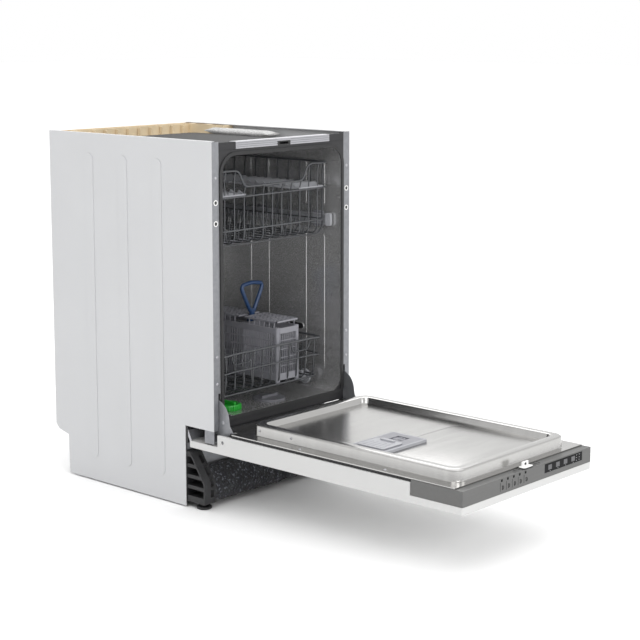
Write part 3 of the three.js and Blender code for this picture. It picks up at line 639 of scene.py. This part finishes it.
def felt_apron():
    """The felt hangs from the tub's edge and ends in an uneven hem."""
    (x0, x1), (y0, y1), (z0, z1) = node_box("insulation_pad")
    columns, rows, thick = 72, 22, 7.0
    sheet = [[], []]
    for layer in (0, 1):
        for i in range(columns + 1):
            x = x0 + (x1 - x0) * i / columns
            wave = noise.noise(Vector((x * 0.03, 0, 4)))
            tatter = abs(noise.noise(Vector((x * 0.13, 2, 0))))
            hem = z0 + 4 + 9 * (0.5 + 0.5 * wave) + 4 * tatter
            line = []
            for k in range(rows + 1):
                t = k / rows
                z = (z1 - 3) * (1 - t) + hem * t
                back = 74 - 30 * min(1.0, 0.25 + 1.15 * t) if t > 0.08 else 74 - 36 * t
                fold = 2.6 * noise.noise(Vector((x * 0.022, z * 0.03, 0)))
                fold += 1.5 * noise.noise(Vector((x * 0.07, z * 0.08, 5)))
                y = min(y1 - 1.0, max(y0 + 0.6, back + fold + (0 if layer else -thick) + 3))
                line.append((x, y, z))
            sheet[layer].append(line)
    form = Form()
    n = rows + 1
    points = [p for layer in sheet for line in layer for p in line]
    half = (columns + 1) * n
    faces = []
    for i in range(columns):
        for k in range(rows):
            a, b = i * n + k, (i + 1) * n + k
            faces.append([a, b, b + 1, a + 1])
            faces.append([half + a, half + a + 1, half + b + 1, half + b])
    for i in range(columns):
        a, b = i * n, (i + 1) * n
        faces.append([a, half + a, half + b, b])
        faces.append([a + rows, b + rows, half + b + rows, half + a + rows])
    for k in range(rows):
        faces.append([k, k + 1, half + k + 1, half + k])
        last = columns * n
        faces.append([last + k, half + last + k, half + last + k + 1, last + k + 1])
    form.add(points, faces)
    form.piece("felt_apron", FELT, "cabinet", "felt", ["insulation_pad"], angle=80)


# ---- racks ----------------------------------------------------------------------------------------
def upper_rack():
    (_, x1), (y0, y1), (z0, z1) = node_box("upper_rack_basket")
    half, front, rear = x1 - 2.4, y0 + 2.4, y1 - 2.4
    floor, rim = z0 + 4.4, z1 - 2.6
    dip = rim - 37
    wires = Form()

    def ring(z, dipped=False, r=1.9, inset=0.0):
        h = half - inset
        path = [(-h, front + inset, z), (h, front + inset, z), (h, rear - inset, z), (-h, rear - inset, z)]
        if dipped:
            path[1:1] = [(-112, front, z), (-94, front, dip), (94, front, dip), (112, front, z)]
        wires.tube(soften(path, 13, True), r, 8, closed=True)

    ring(rim, True, 2.5)
    ring(rim - 58, r=1.9)
    ring(floor + 34, r=1.9, inset=5)
    for y in spaced(front + 16, rear - 16, 13):
        sides = []
        for s in (-1, 1):
            outer, inner = s * (half + 0.4), s * (half - 1.8)
            sides.append([(outer, y, rim + 2.4), (outer, y, rim - 10), (inner, y, rim - 20),
                          (inner, y, floor + 14), (s * (half - 18), y, floor)])
        wires.tube(soften(sides[0] + list(reversed(sides[1])), 7), 1.55, 6)
    for x in spaced(-150, 150, 11):
        high = dip if abs(x) < 100 else rim
        ends = [(x, front - 0.2, high + 2), (x, front + 5, high - 14), (x, front + 6, floor + 14),
                (x, front + 18, floor + 2.8), (x, rear - 18, floor + 2.8), (x, rear - 6, floor + 14),
                (x, rear - 5, rim - 12), (x, rear + 0.2, rim + 2)]
        wires.tube(soften(ends, 8), 1.55, 6)
    # rows of prongs, bent like a V, that stand cups and plates
    for x in (-120, -60, 60, 120):
        for y in spaced(front + 26, rear - 26, 14):
            tip = 50 if abs(x) == 60 else 38
            path = [(x - 11, y, floor + tip), (x - 2.5, y, floor + 4.5), (x + 2.5, y, floor + 4.5),
                    (x + 11, y, floor + tip)]
            wires.tube(soften(path, 5), 1.5, 6)
    wires.piece("upper_rack_wires", WIRE, "upper_rack", "coated_wire", ["upper_rack_basket"], angle=60)

    # the water pipe that runs under the rack to the spray arm, and its holder
    pipe = Form()
    arm = node_box("upper_spray_arm")
    cy = (arm[1][0] + arm[1][1]) / 2
    run = [(0, cy, floor - 5.5), (0, cy + 30, floor - 5.8), (0, rear - 4, floor - 5.8)]
    pipe.tube(soften(run, 8), 5.4, 12)
    pipe.prism(round_rect(-26, 26, cy - 20, cy + 26, 8), "z", floor - 2.4, floor + 1.4)
    for y in (cy + 80, cy + 160, rear - 30):
        pipe.prism(round_rect(-9, 9, y - 4, y + 4, 2, 3), "z", floor - 4, floor + 4)
    pipe.piece("upper_feed_pipe", GREY, "upper_rack", "grey_plastic", bevel=0.6)


def lower_rack():
    (_, x1), (y0, y1), _ = node_box("lower_rack_side_left")
    half = 2.6 - x1
    front, rear = y0 + 2.4, y1 - 2.4
    floor = node_box("lower_rack_floor")[2][0] + 2.0
    rim = node_box("lower_rack_front")[2][1] - 2.4
    wires = Form()

    def ring(z, r, inset, point=0.0):
        h, f, b = half - inset, front + inset, rear - inset
        path = [(-h, f + 24, z), (-h + 9, f - point, z), (-h + 34, f, z), (h - 34, f, z),
                (h - 9, f - point, z), (h, f + 24, z), (h, b, z), (-h, b, z)]
        wires.tube(soften(path, 9, True), r, 8, closed=True)

    ring(rim, 2.5, 0, 7)
    ring(rim - 40, 1.9, 1, 7)
    ring(floor + 4, 2.2, 5)
    for y in spaced(front + 20, rear - 20, 12):
        fall = [(half - u, y, z) for u, z in ((0.2, rim + 3), (1, rim - 14), (5, floor + 12), (13, floor))]
        path = [(-x, y, z) for x, y, z in fall] + list(reversed(fall))
        wires.tube(soften(path, 7), 1.7, 6)
    for x in spaced(-144, 144, 11):
        fall = [(0.2, rim + 3), (1.5, rim - 14), (6, floor + 14), (17, floor + 3)]
        path = [(x, front + u, z) for u, z in fall] + [(x, rear - u, z) for u, z in reversed(fall)]
        wires.tube(soften(path, 7), 1.7, 6)
    # rows of slanting tines that hold plates
    for x, high in ((-136, 52), (-84, 82), (-30, 82)):
        for y in spaced(front + 34, rear - 34, 15):
            path = [(x, y, floor + 2), (x - 1, y, floor + 16), (x + 8, y + 14, floor + high)]
            wires.tube(soften(path, 9), 1.7, 6)
        wires.tube([(x, front + 24, floor + 5.6), (x, rear - 24, floor + 5.6)], 1.8, 6)
    # lifting loops that stand up at the two ends
    for y, out in ((front, 1), (rear, -1)):
        for x in (-96, 96):
            path = [(x - 34, y + out * 0.5, rim), (x - 26, y + out * 2, rim - 24),
                    (x + 26, y + out * 2, rim - 24), (x + 34, y + out * 0.5, rim)]
            wires.tube(soften(path, 9), 1.8, 6)
    names = ["lower_rack_floor", "lower_rack_front", "lower_rack_back", "lower_rack_side_left",
             "lower_rack_side_right", "plate_tines"]
    wires.piece("lower_rack_wires", WIRE, "lower_rack", "coated_wire", names, angle=60)

    # wheel carriers clipped on the bottom ring, each with its stub axle
    carriers = Form()
    for side, sign in SIDES:
        for i in range(4):
            _, (wy0, wy1), (wz0, wz1) = node_box(f"wheel_{side}_{i + 1}")
            y, z = (wy0 + wy1) / 2, (wz0 + wz1) / 2
            body = sorted((sign * (half - 9), sign * 172.4))
            carriers.prism(round_rect(y - 9, y + 9, z - 8, z + 15, 6, 5), "x", *body)
            pin = sorted((sign * 171, sign * 185.6))
            carriers.tube([(pin[0], y, z), (pin[1], y, z)], 3.4, 14)
            wires_top = sorted((sign * (half - 13), sign * (half - 3)))
            carriers.box(wires_top[0], wires_top[1], y - 13, y + 13, z + 12, z + 17)
    carriers.piece("wheel_carriers", LIGHT, "lower_rack", "light_plastic", bevel=0.7)

    for side, sign in SIDES:
        for i in range(4):
            name = f"wheel_{side}_{i + 1}"
            _, (wy0, wy1), (wz0, wz1) = node_box(name)
            y, z = (wy0 + wy1) / 2, (wz0 + wz1) / 2
            inner = sign * 173.2
            wheel = Form()
            tread = [(12.6, 0.4), (17.2, 0.4), (17.9, 1.4), (17.9, 5.8), (17.2, 6.8), (13.4, 6.8),
                     (12.6, 6.0)]
            web = [(4.1, 0.2), (13.4, 0.2), (13.4, 2.0), (4.1, 2.0)]
            hub = [(4.1, 0.0), (7.2, 0.0), (7.6, 8.6), (6.8, 9.6), (4.1, 9.6)]
            for ring_profile in (tread, web, hub):
                rings = []
                for radius, h in ring_profile:
                    at = inner + sign * h
                    circle = [2 * math.pi * k / 32 for k in range(32)]
                    rings.append([(at, y + radius * math.cos(a), z + radius * math.sin(a)) for a in circle])
                wheel.rings(rings, round_path=True)
            for k in range(8):
                a = 2 * math.pi * (k + 0.5) / 8
                c, s = math.cos(a), math.sin(a)
                x = inner + sign * 4.4
                wheel.beam((x, y + 6.6 * c, z + 6.6 * s), (x, y + 13.2 * c, z + 13.2 * s), 4.4, 2.4)
            wheel.piece(f"{name}_spoked", LIGHT, name, "light_plastic", [name], bevel=0.25, segments=1)


def cup_shelves():
    for side, sign in SIDES:
        for end in ("front", "rear"):
            name = f"cup_shelf_{side}_{end}"
            (x0, x1), (y0, y1), (z0, z1) = node_box(name)
            mid = (z0 + z1) / 2
            shelf = Form()
            for x in (x0 + 1.7, x1 - 1.7):
                shelf.box(x - 1.7, x + 1.7, y0, y1, mid - 1.6, mid + 1.8)
            for y in (y0 + 1.7, y1 - 1.7):
                shelf.box(x0, x1, y - 1.7, y + 1.7, mid - 1.6, mid + 1.8)
            if sign < 0:
                width, length = x1 - x0 - 4, y1 - y0 - 4
                for slope in (1, -1):
                    offset = -width
                    while offset < length:
                        a = max(0, -offset)
                        b = min(width, length - offset)
                        if b - a > 6:
                            ya, yb = offset + a, offset + b
                            if slope < 0:
                                ya, yb = length - ya, length - yb
                            ends = [(x0 + 2 + u, y0 + 2 + v, mid) for u, v in ((a, ya), (b, yb))]
                            shelf.beam(*ends, 2.2, 1.7)
                        offset += 27
                for y in spaced(y0 + 16, y1 - 16, 8):
                    tooth = [(y - 9, mid + 1.4), (y + 9, mid + 1.4), (y + 6, z1 + 5.5)]
                    shelf.prism(tooth, "x", x1 - 4, x1 - 1)
            else:
                for y in spaced(y0 + 12, y1 - 12, 9):
                    slat = [(y - 10, z0 + 1), (y + 9, z0 + 1), (y + 9.6, z1 + 6.5), (y + 8, z1 + 7)]
                    shelf.prism(slat, "x", x0 + 3, x1 - 8)
                for x in spaced(x0 + 14, x1 - 14, 5):
                    shelf.box(x - 0.8, x + 0.8, y0 + 3, y1 - 3, z0 + 0.6, z0 + 3.0)
            hinge = x0 + 2.6 if sign < 0 else x1 - 2.6
            for y in (y0 + 30, (y0 + y1) / 2, y1 - 30):
                shelf.tube([(hinge, y - 9, mid), (hinge, y + 9, mid)], 4.2, 12)
            shelf.piece(f"{name}_grid", LIGHT, name, "grey_plastic", [name], bevel=0.35, segments=1)


def rails():
    for side, sign in SIDES:
        (x0, x1), (y0, _), (z0, z1) = node_box(f"upper_rail_{side}")
        cap = Form()
        cap.prism(round_rect(y0 - 0.5, y0 + 16, z0 - 3, z1 + 3, 6), "x", x0 - 0.4, x1 + 0.3)
        face = x0 - 0.4 if sign > 0 else x1 + 0.4
        eye = [(r, -h * sign) for r, h in ((0, 0), (6, 0), (6, 0.9), (4.4, 1.2), (4.2, 0.4), (0, 0.4))]
        cap.turned(eye, "x", (face, y0 + 8, (z0 + z1) / 2), 20)
        cap.piece(f"rail_cap_{side}", LIGHT, "upper_rails", "light_plastic", bevel=0.6)


def cutlery():
    (x0, x1), (y0, y1), (z0, _) = node_box("cutlery_basket")
    lid0 = node_box("basket_lid_front")[2][0]
    rim = lid0 - 12.3
    mid = (y0 + y1) / 2
    basket = Form()
    skirt, band = z0 + 22, rim - 13

    def bar(a0, a1, fixed, thick, z_low, z_high, along_y):
        across = (fixed - thick, fixed + thick)
        basket.box(*across, a0, a1, z_low, z_high) if along_y else basket.box(a0, a1, *across, z_low, z_high)

    def side_bars(a0, a1, fixed, along_y):
        for a in spaced(a0, a1, int((a1 - a0) / 5.4)):
            bar(a - 0.85, a + 0.85, fixed, 1.0, skirt - 1, band + 1, along_y)
        for z in spaced(skirt + 17, band - 17, 4):
            bar(a0, a1, fixed, 0.8, z - 0.9, z + 0.9, along_y)
        for low, high in ((z0 + 6, skirt), (band, rim)):
            bar(a0 - 3, a1 + 3, fixed, 1.4, low, high, along_y)

    for fixed in (x0 + 1.6, x1 - 1.6):
        side_bars(y0 + 10, y1 - 10, fixed, True)
    for fixed in (y0 + 1.6, y1 - 1.6):
        side_bars(x0 + 12, x1 - 12, fixed, False)
    for x in (x0 + 6, x1 - 6):
        for y in (y0 + 6, y1 - 6):
            post = [(0, 0), (5.9, 0), (5.9, rim - z0), (4.8, rim - z0 + 1), (0, rim - z0 + 1)]
            basket.turned(post, "z", (x, y, z0), 18)
    for y in (mid - 5.6, mid + 5.6):
        basket.box(x0 + 3, x1 - 3, y - 0.9, y + 0.9, skirt - 2, rim - 1)
    basket.box(x0 + 2, x1 - 2, y0 + 2, y1 - 2, skirt - 3, skirt - 1)
    for y in spaced(y0 + 14, y1 - 14, 14):
        for x in (x0 + 4.5, x1 - 4.5):
            if abs(y - mid) > 10:
                basket.box(x - 1.1, x + 1.1, y - 1.4, y + 1.4, rim - 1, lid0 - 0.3)
    basket.piece("cutlery_lattice", GREY, "lower_rack", "grey_plastic", ["cutlery_basket"], bevel=0.3,
                 segments=1)

    for end in ("front", "rear"):
        name = f"basket_lid_{end}"
        (a0, a1), (b0, b1), (c0, c1) = node_box(name)
        lid = Form()
        for x in (a0 + 1.4, a1 - 1.4):
            lid.box(x - 1.4, x + 1.4, b0, b1, c0, c1)
        for y in (b0 + 1.4, b1 - 1.4):
            lid.box(a0, a1, y - 1.4, y + 1.4, c0, c1)
        for y in spaced(b0 + 12, b1 - 12, 8):
            lid.box(a0 + 2, a1 - 2, y - 1.1, y + 1.1, c1 - 1.7, c1 - 0.2)
        for x in spaced(a0 + 15, a1 - 15, 4):
            lid.box(x - 1.1, x + 1.1, b0 + 2, b1 - 2, c1 - 1.9, c1 - 0.5)
        lid.piece(f"{name}_grid", GREY, name, "grey_plastic", [name], bevel=0.25, segments=1)

    (h0, h1), (g0, g1), (k0, k1) = node_box("basket_handle")
    cx, cy = (h0 + h1) / 2, (g0 + g1) / 2
    base = k1 - 78
    loop = [(-5, 4), (-31, 54), (-33.5, 62), (-30.5, 68.5), (0, 73.2), (30.5, 68.5), (33.5, 62), (31, 54),
            (5, 4)]
    handle = Form()
    handle.tube(soften([(cx + dx, cy, base + dz) for dx, dz in loop], 12, True, 5), 4.7, 14, closed=True)
    handle.prism(round_rect(cx - 6.5, cx + 6.5, cy - 4.8, cy + 4.8, 3, 4), "z", k0 + 0.1, base + 12)
    handle.prism(round_rect(cx - 13, cx + 13, cy - 4.8, cy + 4.8, 3, 4), "z", k0 + 0.1, k0 + 9)
    handle.piece("basket_handle_loop", BLUE, "lower_rack", "blue_plastic", ["basket_handle"], bevel=0.6)


door_pieces()
cabinet_pieces()
felt_apron()
upper_rack()
lower_rack()
cup_shelves()
rails()
cutlery()


# ---- floor, light and sky -------------------------------------------------------------------------
def surroundings():
    mat = finish("pale_floor", (0.97, 0.97, 0.97), 0.8, vary=0.01, scale=2, grain=60, bump=0.02)
    mesh = bpy.data.meshes.new("floor")
    mesh.from_pydata([(-30, -30, 0), (30, -30, 0), (30, 30, 0), (-30, 30, 0)], [], [[0, 1, 2, 3]])
    mesh.materials.append(mat)
    floor = bpy.data.objects.new("floor", mesh)
    bpy.context.scene.collection.objects.link(floor)

    def lamp(name, where, size, energy):
        light = bpy.data.lights.new(name, "AREA")
        light.shape = "RECTANGLE"
        light.size, light.size_y = size
        light.energy = energy
        obj = bpy.data.objects.new(name, light)
        obj.location = where
        obj.rotation_euler = (Vector((0, 0, 0.4)) - Vector(where)).to_track_quat("-Z", "Y").to_euler()
        bpy.context.scene.collection.objects.link(obj)

    lamp("key", (-2.6, -1.6, 3.0), (2.0, 2.0), 24)
    lamp("fill", (1.4, -3.6, 1.9), (1.6, 1.6), 16)
    lamp("rim", (2.4, 2.2, 2.6), (1.8, 1.8), 20)
    lamp("front", (-1.3, -3.2, 1.5), (1.4, 1.4), 24)

    sky = bpy.data.objects.new("overhead", bpy.data.lights.new("overhead", "SUN"))
    sky.data.energy = 0.9
    sky.data.angle = math.radians(80)
    bpy.context.scene.collection.objects.link(sky)

    world = bpy.data.worlds.new("studio")
    bpy.context.scene.world = world
    world.use_nodes = True
    nodes, links = world.node_tree.nodes, world.node_tree.links
    coords = nodes.new("ShaderNodeTexCoord")
    split = nodes.new("ShaderNodeVectorMath")
    split.operation = "DOT_PRODUCT"
    split.inputs[1].default_value = (0.60, 0.72, 0.0)
    links.new(coords.outputs["Generated"], split.inputs[0])
    blend = nodes.new("ShaderNodeMapRange")
    blend.inputs["From Min"].default_value = -0.75
    blend.inputs["From Max"].default_value = 0.35
    blend.inputs["To Min"].default_value = 0.78
    blend.inputs["To Max"].default_value = 1.0
    links.new(split.outputs["Value"], blend.inputs["Value"])
    background = nodes["Background"]
    background.inputs["Color"].default_value = (1.0, 1.0, 1.0, 1)
    links.new(blend.outputs["Result"], background.inputs["Strength"])
    bpy.context.scene.view_settings.view_transform = "Standard"


surroundings()
